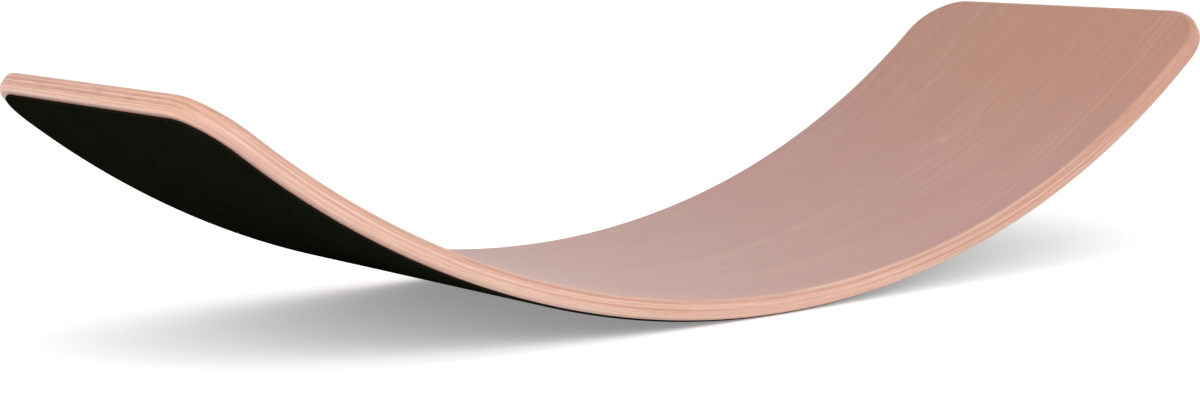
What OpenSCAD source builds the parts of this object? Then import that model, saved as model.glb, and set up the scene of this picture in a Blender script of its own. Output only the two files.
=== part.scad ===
// Curvy balance board: moulded plywood bent to an arc, with a felt sole under it.
// The origin is on the floor below the middle of the board: X runs along it, Y across it and Z up.

/* [Board] */
// Radius of the hollow top face
top_radius = 662; // [560:1:900]
// Length along the middle of the plywood, from end to end
curve_length = 978; // [800:0.5:1100]
// Width across the board
board_width = 300; // [220:1:400]
// Radius of the four corners, seen from above
corner_radius = 41; // [20:1:70]
// Radius of the rounded edge, all round
edge_radius = 4.5; // [1.5:0.25:5]

/* [Plywood] */
// Thickness of one pressed veneer
veneer_thickness = 1.5; // [1.2:0.05:2.5]
// Thickness of one cured glue line
glue_thickness = 0.1; // [0.05:0.01:0.2]

/* [Felt sole] */
// Thickness of the felt
felt_thickness = 1.5; // [1:0.1:5]
// Thickness of the adhesive film that holds the felt
adhesive_thickness = 0.1; // [0.05:0.01:0.2]
// How far the felt stops short of the board's edge, all round
felt_margin = 7.5; // [5:0.5:15]
// How deep the felt is pressed flat where the board stands on it
felt_press = 0.1; // [0.05:0.05:0.3]

/* [Hidden] */
$fn = 240;
cut_overrun = 10;

veneer_count = 9;
glue_count = veneer_count - 1;
ply_pitch = veneer_thickness + glue_thickness;
wood_thickness = veneer_count * veneer_thickness + glue_count * glue_thickness;
adhesive_depth = wood_thickness + adhesive_thickness;
sole_depth = adhesive_depth + felt_thickness;

// The arc stops where the corners begin, and the ends run on straight.
corner_y = board_width / 2 - corner_radius;
arc_length = curve_length - 2 * corner_radius;
arc_angle = arc_length / (top_radius + wood_thickness / 2) * 180 / PI;
arc_centre_z = top_radius + sole_depth - felt_press;
ring_reach = top_radius + sole_depth + cut_overrun;

beech_along = [0.82, 0.66, 0.57];
beech_across = [0.91, 0.76, 0.68];
glue_amber = [0.62, 0.45, 0.33];
felt_black = [0.05, 0.06, 0.04];

// Section of the plywood beside its edge: x runs outwards from a corner's centre, and y is 0 on the top face
module plywood_edge() {
    inner_reach = corner_radius - edge_radius;
    translate([0, -wood_thickness])
        square([inner_reach, wood_thickness]);
    translate([0, edge_radius - wood_thickness])
        square([corner_radius, wood_thickness - 2 * edge_radius]);
    for (y = [-edge_radius, edge_radius - wood_thickness])
        translate([inner_reach, y])
            circle(edge_radius);
}

// The slice of plywood_edge() between two depths below the top face
module wood_edge(upper, lower) {
    intersection() {
        plywood_edge();
        translate([0, -lower])
            square([corner_radius, lower - upper]);
    }
}

// Square-cut edge of the felt or its adhesive, between two depths below the top face
module sole_edge(upper, lower) {
    translate([0, -lower])
        square([corner_radius - felt_margin, lower - upper]);
}

// Sweeps the edge section in children() into a bent sheet: two mirrored halves that meet in the middle
module bent_sheet(upper, lower) {
    for (end = [0, 1])
        mirror([end, 0, 0])
            difference() {
                translate([0, 0, arc_centre_z])
                    rotate([0, -arc_angle / 2, 0])
                        arc_and_end(upper, lower)
                            children();
                translate([-ring_reach, -board_width, -ring_reach])
                    cube([ring_reach, 2 * board_width, 2 * ring_reach]);
            }
}

// A sheet's arc and one end, seen from the arc's centre: x runs on past the arc, and -z points to where it stops
module arc_and_end(upper, lower) {
    rotate([-90, 90, 0])
        rotate_extrude(angle = arc_angle)
            translate([top_radius, 0])
                rotate(90)
                    sheet_section(upper, lower)
                        children();
    translate([0, 0, -top_radius])
        straight_end()
            children();
}

// Section right across a sheet, with the edge section in children() on both sides
module sheet_section(upper, lower) {
    translate([-corner_y, -lower])
        square([2 * corner_y, lower - upper]);
    for (side = [0, 1])
        mirror([side, 0])
            translate([corner_y, 0])
                children();
}

// End of a sheet past the arc, with its two corners: x runs towards the end, and z is 0 on the top face
module straight_end() {
    rotate([90, 0, 0])
        linear_extrude(2 * corner_y, center = true)
            children();
    for (side = [0, 1])
        mirror([0, side, 0])
            translate([0, corner_y, 0])
                rotate_extrude(angle = 90)
                    children();
}

// One veneer, counted from the top face
module veneer(ply) {
    upper = (ply - 1) * ply_pitch;
    lower = upper + veneer_thickness;
    bent_sheet(upper, lower)
        wood_edge(upper, lower);
}

module face_veneer() {
    color(beech_along) veneer(1);
}

module cross_veneer(number) {
    color(beech_across) veneer(2 * number);
}

module long_veneer_1() {
    color(beech_along) veneer(3);
}

module centre_veneer() {
    color(beech_along) veneer(5);
}

module long_veneer_2() {
    color(beech_along) veneer(7);
}

module back_veneer() {
    color(beech_along) veneer(veneer_count);
}

module glue_line(number) {
    lower = number * ply_pitch;
    upper = lower - glue_thickness;
    color(glue_amber)
        bent_sheet(upper, lower)
            wood_edge(upper, lower);
}

module felt_adhesive() {
    color(glue_amber)
        bent_sheet(wood_thickness, adhesive_depth)
            sole_edge(wood_thickness, adhesive_depth);
}

module felt_pad() {
    color(felt_black)
        difference() {
            bent_sheet(adhesive_depth, sole_depth)
                sole_edge(adhesive_depth, sole_depth);
            translate([-curve_length / 2, -board_width / 2, -cut_overrun])
                cube([curve_length, board_width, cut_overrun]);
        }
}

face_veneer();
for (number = [1:glue_count / 2])
    cross_veneer(number);
long_veneer_1();
centre_veneer();
long_veneer_2();
back_veneer();
for (number = [1:glue_count])
    glue_line(number);
felt_adhesive();
felt_pad();
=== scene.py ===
"""Dresses the curvy balance board: nine bent beech plies and a felt sole, standing on a white floor."""

import logging
import math
from collections.abc import Mapping, Sequence
from dataclasses import dataclass
from enum import Enum
from typing import Any, ClassVar

import bpy
import numpy as np
from mathutils import Matrix, Vector


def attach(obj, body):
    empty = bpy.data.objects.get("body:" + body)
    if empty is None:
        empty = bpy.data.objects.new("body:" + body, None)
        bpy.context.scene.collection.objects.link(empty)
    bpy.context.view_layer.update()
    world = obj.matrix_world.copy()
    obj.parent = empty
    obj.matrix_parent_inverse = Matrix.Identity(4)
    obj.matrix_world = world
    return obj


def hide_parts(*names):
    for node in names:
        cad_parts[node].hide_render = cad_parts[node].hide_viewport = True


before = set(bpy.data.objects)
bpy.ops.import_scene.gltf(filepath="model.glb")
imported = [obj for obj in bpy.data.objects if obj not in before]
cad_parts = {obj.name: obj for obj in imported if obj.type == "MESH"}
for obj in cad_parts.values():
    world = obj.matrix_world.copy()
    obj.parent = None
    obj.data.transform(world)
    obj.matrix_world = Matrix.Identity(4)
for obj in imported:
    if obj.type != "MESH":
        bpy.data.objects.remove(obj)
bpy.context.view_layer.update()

LOG = logging.getLogger("balance_board")
BODY = "root"
MM = 0.001

# Point attributes that the meshes carry for their materials.
PLACE = "grain_place"  # metres along the fibres, across them, and down through the board
CUT = "grain_cut"  # x: 0 on a face, 1 on a cut edge; y: 1 on the board's ends; z: the ply's tone, with painted light and shade in it

Colour = tuple[float, float, float, float]
Layers = Mapping[str, tuple[Sequence[float], float, float]]
Sockets = dict[str, bpy.types.NodeSocket]
Array = np.ndarray

WHITE: Colour = (1.0, 1.0, 1.0, 1.0)

# Where nearly all the values of a noise pattern lie.
NOISE_SPAN = (0.3, 0.7)


def linear(code: str) -> Colour:
    """Turns an sRGB colour into the linear one that Blender's sockets take.

    Args:
        code: The colour as "#rrggbb".

    Returns:
        Linear red, green, blue and an alpha of 1.
    """
    parts = [int(code[at:at + 2], 16) / 255 for at in (1, 3, 5)]
    red, green, blue = (p / 12.92 if p <= 0.04045 else ((p + 0.055) / 1.055) ** 2.4 for p in parts)
    return red, green, blue, 1.0


def per_metre(sizes_mm: Sequence[float]) -> tuple[float, ...]:
    """Gives the scale, in repeats for each metre, of each pattern size in millimetres."""
    return tuple(1 / (size * MM) for size in sizes_mm)


def add_node(
    tree: bpy.types.NodeTree,
    kind: str,
    inputs: Mapping[int | str, Any] | None = None,
    stops: Sequence[tuple[float, Colour]] = (),
    **settings: Any,
) -> bpy.types.Node:
    """Adds a node with its settings, values and links.

    A Mix node takes its pair at 2 and 3 for numbers, 4 and 5 for vectors or 6 and 7 for colours, and
    gives the result at 0, 1 or 2. A MapRange node takes the span that it reads at 1 and 2, and the span
    that it gives at 3 and 4.

    Args:
        tree: The node tree that takes the node.
        kind: The node's type, without its "ShaderNode" prefix.
        inputs: For each input, by name or number, a value or the socket that is linked to it.
        stops: A colour ramp's places and colours.
        **settings: The node's own properties.

    Returns:
        The new node.
    """
    node = tree.nodes.new("ShaderNode" + kind)
    for name, value in settings.items():
        setattr(node, name, value)
    for key, value in (inputs or {}).items():
        if isinstance(value, bpy.types.NodeSocket):
            tree.links.new(value, node.inputs[key])
        else:
            node.inputs[key].default_value = value
    for number, (place, colour) in enumerate(stops):
        elements = node.color_ramp.elements
        stop = elements[number] if number < 2 else elements.new(place)
        stop.position, stop.color = place, colour
    return node


def new_material(name: str) -> tuple[bpy.types.Material, bpy.types.NodeTree]:
    """Makes a material whose node tree is empty.

    Args:
        name: The material's name.

    Returns:
        The material and its node tree.
    """
    material = bpy.data.materials.new(name)
    material.use_nodes = True
    material.node_tree.nodes.clear()
    return material, material.node_tree


def noise_layers(tree: bpy.types.NodeTree, layers: Layers) -> Sockets:
    """Adds noise patterns that follow the grain.

    Args:
        tree: The material's node tree.
        layers: For each pattern its size along the fibres, across them and in depth, in
            millimetres, then its detail and that detail's roughness.

    Returns:
        Each pattern's value, from 0 to 1 with its middle at a half.
    """
    place = add_node(tree, "Attribute", attribute_name=PLACE).outputs["Vector"]
    made: Sockets = {}
    for name, (sizes, detail, roughness) in layers.items():
        scaled = add_node(tree, "VectorMath", {0: place, 1: per_metre(sizes)}, operation="MULTIPLY")
        inputs = {"Vector": scaled.outputs[0], "Scale": 1.0, "Detail": detail, "Roughness": roughness}
        made[name] = add_node(tree, "TexNoise", inputs).outputs["Fac"]
    return made


class Fibres(Enum):
    """Which way the fibres of a sheet run."""

    ALONG = "along the board"
    ACROSS = "across the board"


@dataclass(frozen=True)
class BoardCurve:
    """The bent form and the stack that follows it, in metres: depths run down from the top face."""

    top_radius: float = 662 * MM
    curve_length: float = 978 * MM
    width: float = 300 * MM
    corner_radius: float = 41 * MM
    plies: int = 9
    veneer: float = 1.5 * MM
    glue: float = 0.1 * MM
    adhesive: float = 0.1 * MM
    felt: float = 1.5 * MM
    felt_press: float = 0.1 * MM
    arc_rows: int = 132
    corner_rows: int = 16

    @property
    def wood_depth(self) -> float:
        """Thickness of the plywood: its veneers and the glue lines between them."""
        return self.plies * self.veneer + (self.plies - 1) * self.glue

    @property
    def sole_depth(self) -> float:
        """Depth of the felt's underside."""
        return self.wood_depth + self.adhesive + self.felt

    @property
    def corner_y(self) -> float:
        """Distance of the corners' centres from the board's middle line."""
        return self.width / 2 - self.corner_radius

    @property
    def middle_radius(self) -> float:
        """Radius of the middle of the plywood."""
        return self.top_radius + self.wood_depth / 2

    @property
    def half_angle(self) -> float:
        """Angle from the middle of the board to where the arc stops and a straight end begins."""
        return (self.curve_length / 2 - self.corner_radius) / self.middle_radius

    @property
    def centre_z(self) -> float:
        """Height of the arc's centre above the floor."""
        return self.top_radius + self.sole_depth - self.felt_press

    def rows(self) -> tuple[Array, Array, Array]:
        """Lists the lines across the board, from its left end to its right end.

        Returns:
            Each row's angle on the arc, its turn round a corner, and -1 or 1 for the corner's end.
        """
        turn = np.linspace(0, math.pi / 2, self.corner_rows + 1)[1:]
        arc = np.linspace(-self.half_angle, self.half_angle, self.arc_rows + 1)
        stay = np.full_like(turn, self.half_angle)
        angle = np.concatenate([-stay, arc, stay])
        corner = np.concatenate([turn[::-1], np.zeros_like(arc), turn])
        end = np.concatenate([-np.ones_like(turn), np.zeros_like(arc), np.ones_like(turn)])
        return angle, corner, end

    def along(self, angle: Array) -> Array:
        """Gives the direction along the board at angles on the arc."""
        return np.stack([np.cos(angle), np.zeros_like(angle), np.sin(angle)], -1)

    def upward(self, angle: Array) -> Array:
        """Gives the direction straight out of the hollow face at angles on the arc."""
        return np.stack([-np.sin(angle), np.zeros_like(angle), np.cos(angle)], -1)

    def place(self, angle: Array, past: Array, y: Array, depth: float) -> Array:
        """Puts points of a flat sheet on the bent form.

        Args:
            angle: Each point's angle on the arc.
            past: How far it lies past the arc's end, along the straight end.
            y: Its place across the board.
            depth: The sheet's depth below the top face.

        Returns:
            The points, none of them below the floor.
        """
        radius = self.top_radius + depth
        x = radius * np.sin(angle) + past * np.cos(angle)
        z = self.centre_z - radius * np.cos(angle) + past * np.sin(angle)
        return np.stack([x, y, np.maximum(z, 0)], -1)


@dataclass(frozen=True)
class EdgeLevel:
    """A line round a sheet's edge: its depth, its reach from a corner's centre and its upward tilt."""

    depth: float
    reach: float
    tilt: float


@dataclass(frozen=True)
class BentSheet:
    """One sheet of the stack: two faces and the edge between them, as one closed mesh."""

    name: str
    curve: BoardCurve
    levels: Sequence[EdgeLevel]
    fibres: Fibres = Fibres.ALONG
    number: int = 0  # picks the sheet's own piece of the log
    columns: int = 2  # how many faces a row across the board has
    tones: tuple[float, float] = (0.5, 0.5)  # on the long sides and on the ends, 0 dark to 1 pale; it can carry painted light
    fall: float = 0.0  # painted shade: how far the tone darkens from the middle to the right end

    # How far apart in the log two neighbouring sheets come from, so that no two share a figure.
    LOG_STEP: ClassVar[Array] = np.array([3.1, 0.77, 0.0])

    # How far an edge turns away from a face before all of it looks cut.
    RIM_TURN: ClassVar[float] = math.radians(25)

    def build(self) -> bpy.types.Object:
        """Builds the mesh with exact normals and its grain attributes.

        Returns:
            The new object, linked to the scene.
        """
        points, normals, place, cut = self._points()
        faces, shades = self._faces(normals)
        used, joined = np.unique(faces, return_inverse=True)
        mesh = bpy.data.meshes.new(self.name)
        mesh.from_pydata(points[used].tolist(), [], joined.reshape(-1, 4).tolist())
        mesh.normals_split_custom_set(shades.tolist())
        for title, values in ((PLACE, place), (CUT, cut)):
            attribute = mesh.attributes.new(title, "FLOAT_VECTOR", "POINT")
            attribute.data.foreach_set("vector", values[used].ravel())
        mesh.update()
        made = bpy.data.objects.new(self.name, mesh)
        bpy.context.scene.collection.objects.link(made)
        return made

    def _points(self) -> tuple[Array, Array, Array, Array]:
        """Places every level's grid of rows and columns.

        Returns:
            Points, normals of the edge, grain places and grain cuts, with a line for each point.
        """
        across = self.columns + 1
        angle, corner, end = (np.repeat(part[:, None], across, axis=1) for part in self.curve.rows())
        share = np.linspace(-1, 1, across)[None, :]
        # The first and last rows face straight out of the ends, and only the outer columns face sideways.
        last = np.zeros(angle.shape, bool)
        last[[0, -1]] = True
        out_x = np.where(last, end, end * np.sin(corner))
        out_y = np.where(last, 0, np.cos(corner)) * np.trunc(share)
        upward = self.curve.upward(angle)
        outward = out_x[..., None] * self.curve.along(angle) + out_y[..., None] * np.array([0, 1, 0])
        at_end = out_x ** 2
        tone = self.tones[0] + (self.tones[1] - self.tones[0]) * at_end
        # Painted shade: the edge darkens towards the right end.
        tone = tone - self.fall * np.clip(angle / self.curve.half_angle, 0, 1) ** 2
        points: list[Array] = []
        normals: list[Array] = []
        places: list[Array] = []
        cuts: list[Array] = []
        for level in self.levels:
            past = end * level.reach * np.sin(corner)
            y = share * (self.curve.corner_y + level.reach * np.cos(corner))
            run = angle * self.curve.middle_radius + past
            flat = (run, y) if self.fibres is Fibres.ALONG else (y, run)
            in_sheet = np.stack([*flat, np.full_like(run, level.depth)], -1)
            rim = min((math.pi / 2 - abs(level.tilt)) / self.RIM_TURN, 1)
            points.append(self.curve.place(angle, past, y, level.depth))
            normals.append(outward * math.cos(level.tilt) + upward * math.sin(level.tilt))
            places.append(in_sheet + self.LOG_STEP * self.number)
            cuts.append(np.stack([np.full_like(run, rim), at_end, tone], -1))
        point, normal, place, cut = (
            np.concatenate(part).reshape(-1, 3) for part in (points, normals, places, cuts)
        )
        return point, normal, place, cut

    def _faces(self, normals: Array) -> tuple[Array, Array]:
        """Joins the points into the upper face, the lower face and the strips of the edge.

        Args:
            normals: Every point's normal as part of the edge.

        Returns:
            Four points for each face, and the normal of each of their corners in turn.
        """
        angle = self.curve.rows()[0]
        across = self.columns + 1
        grid = np.arange(len(angle) * across).reshape(-1, across)
        upward = np.repeat(self.curve.upward(angle), across, axis=0)
        upper = np.stack([grid[:-1, :-1], grid[1:, :-1], grid[1:, 1:], grid[:-1, 1:]], -1).reshape(-1, 4)
        lower = upper[:, ::-1]
        loop = np.concatenate([grid[:, 0], grid[-1, 1:], grid[-2::-1, -1], grid[0, -2:0:-1]])
        beside = np.roll(loop, -1)
        faces = [upper, lower + grid.size * (len(self.levels) - 1)]
        shades = [upward[upper], -upward[lower]]
        for step in range(len(self.levels) - 1):
            high, low = grid.size * step, grid.size * (step + 1)
            strip = np.stack([loop + high, loop + low, beside + low, beside + high], -1)
            faces.append(strip)
            shades.append(normals[strip])
        return np.concatenate(faces), np.concatenate(shades).reshape(-1, 3)


@dataclass(frozen=True)
class LacqueredBeech:
    """Rotary-cut beech veneer, sanded and sprayed with satin lacquer.

    The knife peels the log, so a face shows thin pale growth lines that wander along it, over short
    fine strokes. A sanded edge is paler, with a tone of its own in each ply and fine dark dashes; its
    tone also holds painted light on the lowest plies and at the ends, and painted shade towards the right
    end.
    """

    name: str
    face: str = "#B7867B"
    face_line: str = "#C09687"
    face_warm: str = "#BA856D"
    edge_pale: str = "#D9B4A2"
    edge_dark: str = "#BF8D79"
    edge_dash: str = "#A07460"
    side_dash: float = 0.65  # how strong the dashes are on the long sides
    end_dash: float = 1.3  # how strong they are on the ends
    dash_free_tone: float = 1.25  # the tone at which a ply would show no dashes
    tone_drift: float = 0.5  # how far a ply's tone strays along its edge
    growth_lines: float = 9.0  # how many spacings the figure can move a growth line
    line_spacing: float = 11.0  # millimetres from one growth line to the next
    roughness: tuple[float, float] = (0.34, 0.42)  # least and most, from streak to streak
    ior: float = 1.5
    relief: float = 0.04 * MM
    relief_strength: float = 0.4

    # How much brighter and redder the wood is where it is cut at the board's ends: partly the end grain's
    # own colour, partly painted light that brightens the ends.
    END_TINT_AND_LIGHT: ClassVar[tuple[float, float, float]] = (1.23, 1.13, 1.05)

    # Where the face veneer is warmer, and how far that reaches, in metres along and across the fibres.
    WARM_AT: ClassVar[tuple[float, float, float]] = (0.47, -0.02, 0.0)
    WARM_REACH: ClassVar[tuple[float, float, float]] = (0.16, 0.22, 0.1)

    # Size along the fibres, across them and in depth in millimetres, detail and its roughness.
    # Real ray flecks are 2 by 0.3 mm: they are drawn coarser, so that they show.
    LAYERS: ClassVar[Layers] = {
        "figure": ((480, 80, 400), 3.0, 0.5),
        "fading": ((220, 45, 40), 2.0, 0.5),
        "warmth": ((120, 40, 40), 2.0, 0.5),
        "band": ((230, 22, 10), 2.0, 0.5),
        "streak": ((40, 1.4, 1.4), 2.5, 0.55),
        "fleck": ((7, 1.0, 1.0), 1.0, 0.5),
        "dash": ((30, 14, 0.5), 2.0, 0.55),
        "drift": ((170, 110, 2.4), 2.0, 0.5),
    }

    # How strong a growth line is at each share of the spacing: it fades slowly on one side.
    LINE_PROFILE: ClassVar[tuple[tuple[float, float], ...]] = (
        (0.0, 0.9),
        (0.08, 0.45),
        (0.35, 0.15),
        (0.8, 0.0),
        (0.93, 0.25),
        (1.0, 0.9),
    )

    # Between which values of a pattern its effect grows from nothing to all of it.
    FADING_SPAN: ClassVar[tuple[float, float]] = (0.4, 0.65)
    WARM_SPAN: ClassVar[tuple[float, float]] = (-0.9, 0.2)
    DRIFT_SPAN: ClassVar[tuple[float, float]] = (0.25, 0.75)
    DASH_SPAN: ClassVar[tuple[float, float]] = (0.52, 0.74)

    # How far each pattern lightens or darkens the face, as a share of its colour.
    FACE_SHADES: ClassVar[dict[str, float]] = {"band": 0.17, "streak": 0.14, "fleck": -0.06}

    def make(self) -> bpy.types.Material:
        """Makes the material.

        Returns:
            The material, which reads the grain attributes of the sheet that wears it.
        """
        material, tree = new_material(self.name)
        layer = noise_layers(tree, self.LAYERS)
        marks = add_node(tree, "Attribute", attribute_name=CUT).outputs["Vector"]
        cut = add_node(tree, "SeparateXYZ", {0: marks})
        face = self._face_colour(tree, layer)
        edge = self._edge_colour(tree, layer, cut)
        colour = add_node(tree, "Mix", {0: cut.outputs["X"], 6: face, 7: edge}, data_type="RGBA")
        limits = dict(enumerate((*NOISE_SPAN, *self.roughness), start=1))
        gloss = add_node(tree, "MapRange", {0: layer["streak"], **limits})
        height = add_node(tree, "Math", {0: layer["streak"], 1: layer["fleck"]}, operation="SUBTRACT")
        bump = add_node(
            tree,
            "Bump",
            {"Strength": self.relief_strength, "Distance": self.relief, "Height": height.outputs[0]},
        )
        shader = add_node(
            tree,
            "BsdfPrincipled",
            {
                "Base Color": colour.outputs[2],
                "Roughness": gloss.outputs[0],
                "IOR": self.ior,
                "Normal": bump.outputs[0],
            },
        )
        add_node(tree, "OutputMaterial", {0: shader.outputs[0]})
        return material

    def _face_colour(self, tree: bpy.types.NodeTree, layer: Sockets) -> bpy.types.NodeSocket:
        """Draws the veneer's flat face.

        Args:
            tree: The material's node tree.
            layer: The noise patterns.

        Returns:
            The colour.
        """
        place = add_node(tree, "Attribute", attribute_name=PLACE).outputs["Vector"]
        ground = self._warm_ground(tree, layer, place)
        drawn = self._growth_lines(tree, layer, place)
        lined = add_node(
            tree, "Mix", {0: drawn, 6: ground, 7: linear(self.face_line)}, data_type="RGBA"
        ).outputs[2]
        return self._shaded(tree, lined, layer, self.FACE_SHADES)

    def _growth_lines(
        self, tree: bpy.types.NodeTree, layer: Sockets, place: bpy.types.NodeSocket
    ) -> bpy.types.NodeSocket:
        """Draws the growth lines, which wander across the face and come and go along it.

        Args:
            tree: The material's node tree.
            layer: The noise patterns.
            place: The place in the veneer.

        Returns:
            How strong a line is, from 0 to 1.
        """
        across = add_node(tree, "SeparateXYZ", {0: place}).outputs["Y"]
        wander = add_node(
            tree, "Math", {0: layer["figure"], 1: self.growth_lines}, operation="MULTIPLY"
        ).outputs[0]
        lines_per_metre = 1 / (self.line_spacing * MM)
        rings = add_node(
            tree, "Math", {0: across, 1: lines_per_metre, 2: wander}, operation="MULTIPLY_ADD"
        ).outputs[0]
        turn = add_node(tree, "Math", {0: rings}, operation="FRACT").outputs[0]
        stops = [(share, (tone, tone, tone, 1)) for share, tone in self.LINE_PROFILE]
        line = add_node(tree, "ValToRGB", {0: turn}, stops).outputs[0]
        low, high = self.FADING_SPAN
        shown = add_node(tree, "MapRange", {0: layer["fading"], 1: low, 2: high}).outputs[0]
        return add_node(tree, "Math", {0: line, 1: shown}, operation="MULTIPLY").outputs[0]

    def _warm_ground(
        self, tree: bpy.types.NodeTree, layer: Sockets, place: bpy.types.NodeSocket
    ) -> bpy.types.NodeSocket:
        """Draws the wood between the growth lines, with its warmer patch.

        Args:
            tree: The material's node tree.
            layer: The noise patterns.
            place: The place in the veneer.

        Returns:
            The colour.
        """
        away = add_node(tree, "VectorMath", {0: place, 1: self.WARM_AT}, operation="SUBTRACT").outputs[0]
        away = add_node(tree, "VectorMath", {0: away, 1: self.WARM_REACH}, operation="DIVIDE").outputs[0]
        away = add_node(tree, "VectorMath", {0: away}, operation="LENGTH").outputs["Value"]
        near = add_node(tree, "Math", {0: layer["warmth"], 1: away}, operation="SUBTRACT").outputs[0]
        low, high = self.WARM_SPAN
        patch = add_node(tree, "MapRange", {0: near, 1: low, 2: high}).outputs[0]
        return add_node(
            tree, "Mix", {0: patch, 6: linear(self.face), 7: linear(self.face_warm)}, data_type="RGBA"
        ).outputs[2]

    def _edge_colour(
        self, tree: bpy.types.NodeTree, layer: Sockets, cut: bpy.types.Node
    ) -> bpy.types.NodeSocket:
        """Draws the veneer's cut edge, whose tone carries painted light and shade, and whose ends are
        brightened as painted light.

        Args:
            tree: The material's node tree.
            layer: The noise patterns.
            cut: The node that gives the CUT attribute's parts.

        Returns:
            The colour.
        """
        at_end, tone = cut.outputs["Y"], cut.outputs["Z"]
        low, high = self.DRIFT_SPAN
        stray = {0: layer["drift"], 1: low, 2: high, 3: -self.tone_drift, 4: self.tone_drift}
        drift = add_node(tree, "MapRange", stray).outputs[0]
        shade = add_node(tree, "Math", {0: tone, 1: drift}, operation="ADD", use_clamp=True).outputs[0]
        tones = {0: shade, 6: linear(self.edge_dark), 7: linear(self.edge_pale)}
        ground = add_node(tree, "Mix", tones, data_type="RGBA").outputs[2]
        plain = add_node(tree, "Math", {0: self.dash_free_tone, 1: tone}, operation="SUBTRACT").outputs[0]
        depth = add_node(tree, "MapRange", {0: at_end, 3: self.side_dash, 4: self.end_dash}).outputs[0]
        depth = add_node(tree, "Math", {0: depth, 1: plain}, operation="MULTIPLY").outputs[0]
        low, high = self.DASH_SPAN
        dash = add_node(tree, "MapRange", {0: layer["dash"], 1: low, 2: high, 4: depth}).outputs[0]
        dashed = add_node(
            tree, "Mix", {0: dash, 6: ground, 7: linear(self.edge_dash)}, data_type="RGBA"
        ).outputs[2]
        # Painted light in part: the ends are brightened as well as tinted.
        end_colour_and_light = add_node(
            tree, "Mix", {0: at_end, 4: WHITE[:3], 5: self.END_TINT_AND_LIGHT}, data_type="VECTOR"
        ).outputs[1]
        return add_node(tree, "VectorMath", {0: dashed, 1: end_colour_and_light}, operation="MULTIPLY").outputs[0]

    def _shaded(
        self,
        tree: bpy.types.NodeTree,
        colour: bpy.types.NodeSocket,
        layer: Sockets,
        amounts: Mapping[str, float],
    ) -> bpy.types.NodeSocket:
        """Lightens and darkens a colour by patterns.

        Args:
            tree: The material's node tree.
            colour: The colour to change.
            layer: The noise patterns.
            amounts: How far each pattern moves the colour, as a share of it.

        Returns:
            The changed colour.
        """
        share: float | bpy.types.NodeSocket = 1 - sum(amounts.values()) / 2
        for name, amount in amounts.items():
            share = add_node(
                tree, "Math", {0: layer[name], 1: amount, 2: share}, operation="MULTIPLY_ADD"
            ).outputs[0]
        return add_node(tree, "VectorMath", {0: colour, "Scale": share}, operation="SCALE").outputs[0]


@dataclass(frozen=True)
class CuredGlue:
    """Cured resin glue, squeezed to a film and sanded with the edge: a dull, thin, darker line."""

    name: str
    thin: str
    thick: str
    roughness: float = 0.5
    ior: float = 1.5

    # Size along the board, across it and in depth in millimetres, detail and its roughness.
    LAYERS: ClassVar[Layers] = {"spread": ((9, 9, 3), 2.0, 0.5)}

    def make(self) -> bpy.types.Material:
        """Makes the material.

        Returns:
            The material, darker where the film is thicker.
        """
        material, tree = new_material(self.name)
        spread = noise_layers(tree, self.LAYERS)["spread"]
        stops = list(zip(NOISE_SPAN, (linear(self.thin), linear(self.thick))))
        colour = add_node(tree, "ValToRGB", {0: spread}, stops).outputs[0]
        shader = add_node(
            tree, "BsdfPrincipled", {"Base Color": colour, "Roughness": self.roughness, "IOR": self.ior}
        )
        add_node(tree, "OutputMaterial", {0: shader.outputs[0]})
        return material


@dataclass(frozen=True)
class PressedFelt:
    """Pressed wool felt, dyed almost black: dull and faintly mottled, with a nap of loose fibres."""

    name: str = "wool_felt_pressed_black"
    hollow: str = "#0D100A"
    nap: str = "#191C13"
    cut_fibres: str = "#201B15"
    cloud_share: float = 0.35  # how much of the mottling is broad, and not the nap's own
    relief: float = 0.3 * MM
    relief_strength: float = 0.6

    # Size along the board, across it and in depth in millimetres, detail and its roughness.
    # Real fibres are 0.03 mm thick: the nap is drawn as tufts of 0.6 mm, so that it shows.
    LAYERS: ClassVar[Layers] = {
        "nap": ((0.9, 0.6, 0.6), 2.0, 0.6),
        "cloud": ((14, 11, 11), 3.0, 0.6),
    }

    # Between which values of the mottling the colour goes from hollow to nap.
    NAP_SPAN: ClassVar[tuple[float, float]] = (0.36, 0.66)

    def make(self) -> bpy.types.Material:
        """Makes the material.

        Returns:
            The material.
        """
        material, tree = new_material(self.name)
        layer = noise_layers(tree, self.LAYERS)
        mottling = add_node(
            tree, "Mix", {0: self.cloud_share, 2: layer["nap"], 3: layer["cloud"]}, data_type="FLOAT"
        ).outputs[0]
        stops = list(zip(self.NAP_SPAN, (linear(self.hollow), linear(self.nap))))
        face = add_node(tree, "ValToRGB", {0: mottling}, stops).outputs[0]
        marks = add_node(tree, "Attribute", attribute_name=CUT).outputs["Vector"]
        cut = add_node(tree, "SeparateXYZ", {0: marks}).outputs["X"]
        colour = add_node(
            tree, "Mix", {0: cut, 6: face, 7: linear(self.cut_fibres)}, data_type="RGBA"
        ).outputs[2]
        bump = add_node(
            tree,
            "Bump",
            {"Strength": self.relief_strength, "Distance": self.relief, "Height": layer["nap"]},
        )
        shader = add_node(
            tree,
            "BsdfPrincipled",
            {
                "Base Color": colour,
                "Roughness": 1.0,
                "Specular IOR Level": 0.0,
                "Normal": bump.outputs[0],
            },
        )
        add_node(tree, "OutputMaterial", {0: shader.outputs[0]})
        return material


def fit(piece: bpy.types.Object, material: bpy.types.Material) -> None:
    """Puts a finished piece in the frame in place of the node it is named for.

    Args:
        piece: The piece, named as its node with "_made" after it.
        material: The finish.
    """
    piece.data.materials.append(material)
    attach(piece, BODY)
    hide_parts(piece.name.removesuffix("_made"))
    LOG.info("%s: %d faces, %s", piece.name, len(piece.data.polygons), material.name)


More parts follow.
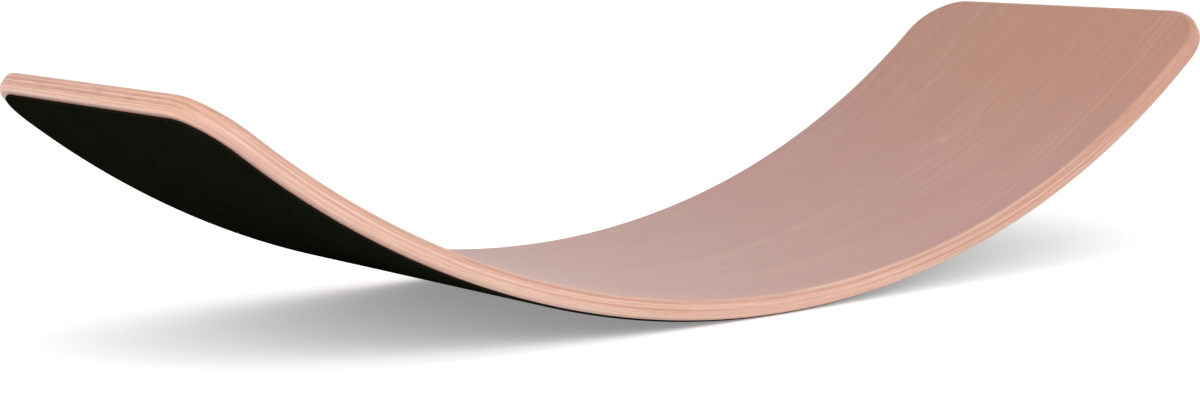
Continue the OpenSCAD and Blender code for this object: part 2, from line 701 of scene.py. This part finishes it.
@dataclass(frozen=True)
class PlywoodShell:
    """The nine pressed veneers and the eight glue lines between them, with one rounded edge all round."""

    curve: BoardCurve
    edge_radius: float = 4.5 * MM
    strip_angle: float = math.radians(11)  # the most that one strip of the rounded edge turns
    painted_shade_fall: float = 0.75  # painted shade: how far the edge's tone darkens from the middle to the right end

    # The plies from the top face down.
    PLIES: ClassVar[tuple[str, ...]] = (
        "face_veneer",
        "cross_veneer_1",
        "long_veneer_1",
        "cross_veneer_2",
        "centre_veneer",
        "cross_veneer_3",
        "long_veneer_2",
        "cross_veneer_4",
        "back_veneer",
    )

    # Each veneer comes from another log: its tone on the long sides and on the ends, 0 dark to 1 pale.
    # The lowest plies are also made paler, as painted light from the floor below.
    PLY_TONES_AND_LIGHT: ClassVar[tuple[tuple[float, float], ...]] = (
        (0.6, 0.4),
        (0.05, 0.3),
        (0.38, 0.7),
        (0.75, 0.2),
        (0.23, 0.75),
        (0.7, 0.1),
        (0.63, 0.65),
        (0.8, 1.0),
        (0.7, 0.9),
    )

    def tilt(self, depth: float) -> float:
        """Gives the upward tilt of the rounded edge.

        Args:
            depth: Depth below the top face.

        Returns:
            The tilt: a quarter turn at the top face, 0 on the flat of the edge, less than 0 below it.
        """
        above = min((self.edge_radius - depth) / self.edge_radius, 1)
        below = min((depth - self.curve.wood_depth + self.edge_radius) / self.edge_radius, 1)
        return math.asin(max(above, 0)) - math.asin(max(below, 0))

    def edge(self, upper: float, lower: float) -> list[EdgeLevel]:
        """Follows the rounded edge between two depths.

        Args:
            upper: The upper depth.
            lower: The lower depth.

        Returns:
            The levels, from the upper depth down.
        """
        start, stop = self.tilt(upper), self.tilt(lower)
        strips = max(1, math.ceil(abs(start - stop) / self.strip_angle))
        levels: list[EdgeLevel] = []
        for number in range(strips + 1):
            tilt = start + (stop - start) * number / strips
            rise = self.edge_radius * (1 - math.sin(abs(tilt)))
            depth = (upper, lower)[number // strips]
            if 0 < number < strips:
                depth = rise if tilt > 0 else self.curve.wood_depth - rise
            reach = self.curve.corner_radius - self.edge_radius * (1 - math.cos(tilt))
            levels.append(EdgeLevel(depth, reach, tilt))
        return levels

    def build(self) -> None:
        """Builds and dresses the veneers and the glue lines."""
        along = LacqueredBeech("beech_veneer_satin_lacquered_along").make()
        across = LacqueredBeech("beech_veneer_satin_lacquered_across").make()
        resin = CuredGlue("resin_glue_line_sanded", thin="#B98A70", thick="#8A6049").make()
        pitch = self.curve.veneer + self.curve.glue
        for number, name in enumerate(self.PLIES):
            upper = number * pitch
            fibres = Fibres.ACROSS if number % 2 else Fibres.ALONG
            levels = self.edge(upper, upper + self.curve.veneer)
            sheet = BentSheet(
                name + "_made",
                self.curve,
                levels,
                fibres,
                number,
                tones=self.PLY_TONES_AND_LIGHT[number],
                fall=self.painted_shade_fall,
            ).build()
            is_along = fibres is Fibres.ALONG
            fit(sheet, along if is_along else across)
        for number in range(1, len(self.PLIES)):
            lower = number * pitch
            levels = self.edge(lower - self.curve.glue, lower)
            sheet = BentSheet(f"glue_line_{number}_made", self.curve, levels, number=number).build()
            fit(sheet, resin)


@dataclass(frozen=True)
class FeltSole:
    """The felt under the board and the adhesive film that holds it."""

    curve: BoardCurve
    margin: float = 7.5 * MM  # how far the felt stops short of the board's edge
    soft_edge: float = 0.6 * MM  # radius of the felt's lower edge
    soft_strips: int = 4
    columns: int = 16  # how many faces a row across the felt has

    @property
    def reach(self) -> float:
        """Reach of the felt's cut from a corner's centre, which is also its corner radius."""
        return self.curve.corner_radius - self.margin

    def build(self) -> None:
        """Builds and dresses the adhesive film and the felt."""
        upper = self.curve.wood_depth
        lower = upper + self.curve.adhesive
        film = [EdgeLevel(depth, self.reach, 0) for depth in (upper, lower)]
        adhesive = BentSheet("felt_adhesive_made", self.curve, film).build()
        rolled = CuredGlue("contact_adhesive_rolled", thin="#4A3B2E", thick="#2A2119").make()
        fit(adhesive, rolled)

        levels = [EdgeLevel(lower, self.reach, 0)]
        for number in range(self.soft_strips + 1):
            tilt = -math.pi / 2 * number / self.soft_strips
            depth = self.curve.sole_depth - self.soft_edge * (1 + math.sin(tilt))
            levels.append(EdgeLevel(depth, self.reach - self.soft_edge * (1 - math.cos(tilt)), tilt))
        felt = BentSheet("felt_pad_made", self.curve, levels, columns=self.columns).build()
        fit(felt, PressedFelt().make())


@dataclass(frozen=True)
class Studio:
    """A white floor, light from all round and from three softboxes, and the photograph's camera."""

    camera_at: tuple[float, float, float] = (-1.14035, -1.41898, 0.31866)
    yaw: float = math.radians(34.6336)  # from +Y towards +X
    pitch: float = math.radians(-7.9563)
    roll: float = math.radians(-1.4169)
    focal_pixels: float = 2516.43  # the focal length, in pixels of the photograph
    centre_pixel: float = 466.0  # the photograph's column that lies straight ahead
    photo_width: int = 1200
    sensor_mm: float = 36.0
    floor_half: float = 30.0  # half of the floor's side
    floor_colour: str = "#F0F0F0"
    floor_gain: float = 1.4  # how much brighter the floor is seen than it lights the board
    floor_lift: float = 0.26  # white that is added where the floor is seen, so its shadows stay pale
    floor_glow: float = 0.07  # white that the floor adds to the light on the board
    ambient: float = 0.68  # how much of white comes from all round
    softbox_aim: tuple[float, float, float] = (0.0, -0.15, 0.01)
    softbox_size: float = 0.7

    # Each softbox's place, and how much of white a sheet at the aim gets from it when it faces it.
    SOFTBOXES: ClassVar[dict[str, tuple[tuple[float, float, float], float]]] = {
        "left_softbox": ((-1.1, -0.4, 0.6), 0.155),
        "front_softbox": ((-0.25, -0.9, 0.5), 0.26),
        "right_softbox": ((0.5, -1.3, 0.6), 0.28),
    }

    def build(self) -> None:
        """Builds the floor, the light and the camera."""
        self.build_floor()
        self.build_world()
        for name, (place, level) in self.SOFTBOXES.items():
            self.build_softbox(name, Vector(place), level)
        self.build_camera()
        bpy.context.scene.view_settings.view_transform = "Standard"

    def seen_directly(self, tree: bpy.types.NodeTree) -> bpy.types.NodeSocket:
        """Adds nodes that tell rays which see the background from rays that only carry its light.

        Args:
            tree: The node tree of the floor or the world.

        Returns:
            1 for camera, glossy and transmission rays.
        """
        path = add_node(tree, "LightPath").outputs
        first = add_node(
            tree, "Math", {0: path["Is Camera Ray"], 1: path["Is Glossy Ray"]}, operation="MAXIMUM"
        ).outputs[0]
        return add_node(
            tree, "Math", {0: first, 1: path["Is Transmission Ray"]}, operation="MAXIMUM"
        ).outputs[0]

    def build_floor(self) -> None:
        """Builds the floor, which keeps the board's shadow and is not there from underneath."""
        half = self.floor_half
        corners = [(-half, -half, 0), (half, -half, 0), (half, half, 0), (-half, half, 0)]
        mesh = bpy.data.meshes.new("studio_floor")
        mesh.from_pydata(corners, [], [(0, 1, 2, 3)])
        floor = bpy.data.objects.new("studio_floor", mesh)
        bpy.context.scene.collection.objects.link(floor)
        material, tree = new_material("paper_sweep_matt_white")
        seen = self.seen_directly(tree)
        gain = add_node(tree, "MapRange", {0: seen, 3: 1.0, 4: self.floor_gain}).outputs[0]
        tone = add_node(
            tree, "VectorMath", {0: linear(self.floor_colour)[:3], "Scale": gain}, operation="SCALE"
        ).outputs[0]
        paper = add_node(tree, "BsdfDiffuse", {"Color": tone}).outputs[0]
        lift = add_node(tree, "MapRange", {0: seen, 3: self.floor_glow, 4: self.floor_lift}).outputs[0]
        glow = add_node(tree, "Emission", {"Color": WHITE, "Strength": lift}).outputs[0]
        lit = add_node(tree, "AddShader", {0: paper, 1: glow}).outputs[0]
        clear = add_node(tree, "BsdfTransparent").outputs[0]
        below = add_node(tree, "NewGeometry").outputs["Backfacing"]
        both = add_node(tree, "MixShader", {0: below, 1: lit, 2: clear}).outputs[0]
        add_node(tree, "OutputMaterial", {0: both})
        mesh.materials.append(material)

    def build_world(self) -> None:
        """Lights everything evenly, and shows white where the background is seen."""
        world = bpy.data.worlds.new("studio_white")
        world.use_nodes = True
        tree = world.node_tree
        tree.nodes.clear()
        seen = self.seen_directly(tree)
        strength = add_node(tree, "MapRange", {0: seen, 3: self.ambient, 4: 1.0}).outputs[0]
        white = add_node(tree, "Background", {"Color": WHITE, "Strength": strength}).outputs[0]
        add_node(tree, "OutputWorld", {0: white})
        bpy.context.scene.world = world

    def build_softbox(self, name: str, place: Vector, level: float) -> None:
        """Hangs a round softbox that faces the board.

        Args:
            name: The lamp's name.
            place: Where it hangs.
            level: How much of white a sheet at the aim gets from it when it faces it.
        """
        data = bpy.data.lights.new(name, "AREA")
        data.shape, data.size = "DISK", self.softbox_size
        ray = place - Vector(self.softbox_aim)
        # A lamp of power P lights a facing white sheet at distance r to P / (pi * r) ** 2 of white.
        data.energy = level * math.pi ** 2 * ray.length_squared
        lamp = bpy.data.objects.new(name, data)
        lamp.location = place
        lamp.rotation_mode = "QUATERNION"
        lamp.rotation_quaternion = ray.to_track_quat("Z", "Y")
        bpy.context.scene.collection.objects.link(lamp)

    def build_camera(self) -> None:
        """Puts the camera where the photograph was taken from."""
        ahead = Vector((
            math.sin(self.yaw) * math.cos(self.pitch),
            math.cos(self.yaw) * math.cos(self.pitch),
            math.sin(self.pitch),
        ))
        level = Vector((math.cos(self.yaw), -math.sin(self.yaw), 0))
        upright = level.cross(ahead)
        right = level * math.cos(self.roll) + upright * math.sin(self.roll)
        up = upright * math.cos(self.roll) - level * math.sin(self.roll)
        data = bpy.data.cameras.new("photo_camera")
        data.sensor_fit, data.sensor_width = "HORIZONTAL", self.sensor_mm
        data.lens = self.focal_pixels * self.sensor_mm / self.photo_width
        data.shift_x = 0.5 - self.centre_pixel / self.photo_width
        camera = bpy.data.objects.new("photo_camera", data)
        turned = Matrix((right, up, -ahead)).transposed()
        camera.matrix_world = Matrix.Translation(self.camera_at) @ turned.to_4x4()
        bpy.context.scene.collection.objects.link(camera)
        bpy.context.scene.camera = camera


def main() -> None:
    """Builds the plywood, the sole and the studio."""
    logging.basicConfig(level=logging.INFO, format="%(message)s")
    curve = BoardCurve()
    PlywoodShell(curve).build()
    FeltSole(curve).build()
    Studio().build()


if __name__ == "__main__":
    main()
